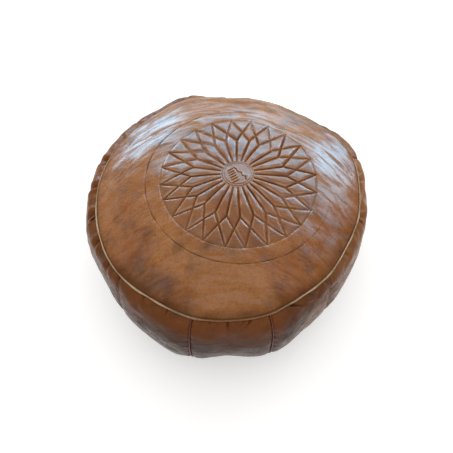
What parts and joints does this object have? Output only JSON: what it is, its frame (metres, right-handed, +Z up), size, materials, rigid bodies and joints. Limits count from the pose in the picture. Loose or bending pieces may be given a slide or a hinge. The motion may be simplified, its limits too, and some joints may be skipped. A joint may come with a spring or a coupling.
{
  "type": "leather pouf",
  "caption": "Low round leather pouf with a domed tooled top, bulging side panels and a zip across the base for its filling.",
  "frame": {"origin": "on the floor, under the middle of the pouf's box", "axes": "+Z up, -Y the front, +X to the right seen from the front"},
  "size_m": [0.5549, 0.5629, 0.2744],
  "materials": {
    "tan_leather": "glazed, mottled",
    "base_leather": "plain",
    "raw_leather_edge": "raw cut edge",
    "red_leather": "plain",
    "zip_tape": "woven",
    "zip_metal": "dulled",
    "thread": "waxed thread",
    "cotton": "plain weave",
    "wadding": "loose"
  },
  "bodies": {
    "cover": {"top_panel": "tan_leather", "rim_welt": "raw_leather_edge", "side_panel_01": "tan_leather", "side_panel_02": "tan_leather", "side_panel_03": "tan_leather", "side_panel_04": "tan_leather", "side_panel_05": "tan_leather", "side_panel_06": "tan_leather", "side_panel_07": "tan_leather", "side_panel_08": "tan_leather", "side_panel_09": "tan_leather", "side_panel_10": "tan_leather", "side_panel_11": "tan_leather", "side_panel_12": "tan_leather", "side_welt_01": "red_leather", "side_welt_02": "red_leather", "side_welt_03": "red_leather", "side_welt_04": "red_leather", "side_welt_05": "red_leather", "side_welt_06": "red_leather", "side_welt_07": "red_leather", "side_welt_08": "red_leather", "side_welt_09": "red_leather", "side_welt_10": "red_leather", "side_welt_11": "red_leather", "side_welt_12": "red_leather", "base_welt": "raw_leather_edge", "base_panel_front": "base_leather", "base_panel_back": "base_leather", "zip_tape_front": "zip_tape", "zip_tape_back": "zip_tape", "zip_teeth_front": "zip_metal", "zip_teeth_back": "zip_metal", "zip_closed_stops": "zip_metal", "zip_open_stop": "zip_metal", "zip_stitches": "thread", "inner_bag": "cotton", "filling": "wadding"},
    "slider": {"zip_slider": "zip_metal"},
    "pull": {"zip_pull": "zip_metal"}
  },
  "joints": [
    {"name": "zip_slide", "type": "slide", "parent": "cover", "child": "slider", "axis": [-1, 0, 0], "range_m": [0, 0.23709]},
    {"name": "zip_pull_swing", "type": "hinge", "parent": "slider", "child": "pull", "pos_m": [0.12002, -0.00149, 0.0107], "axis": [0, 1, 0], "range_deg": [-155, 25]}
  ]
}
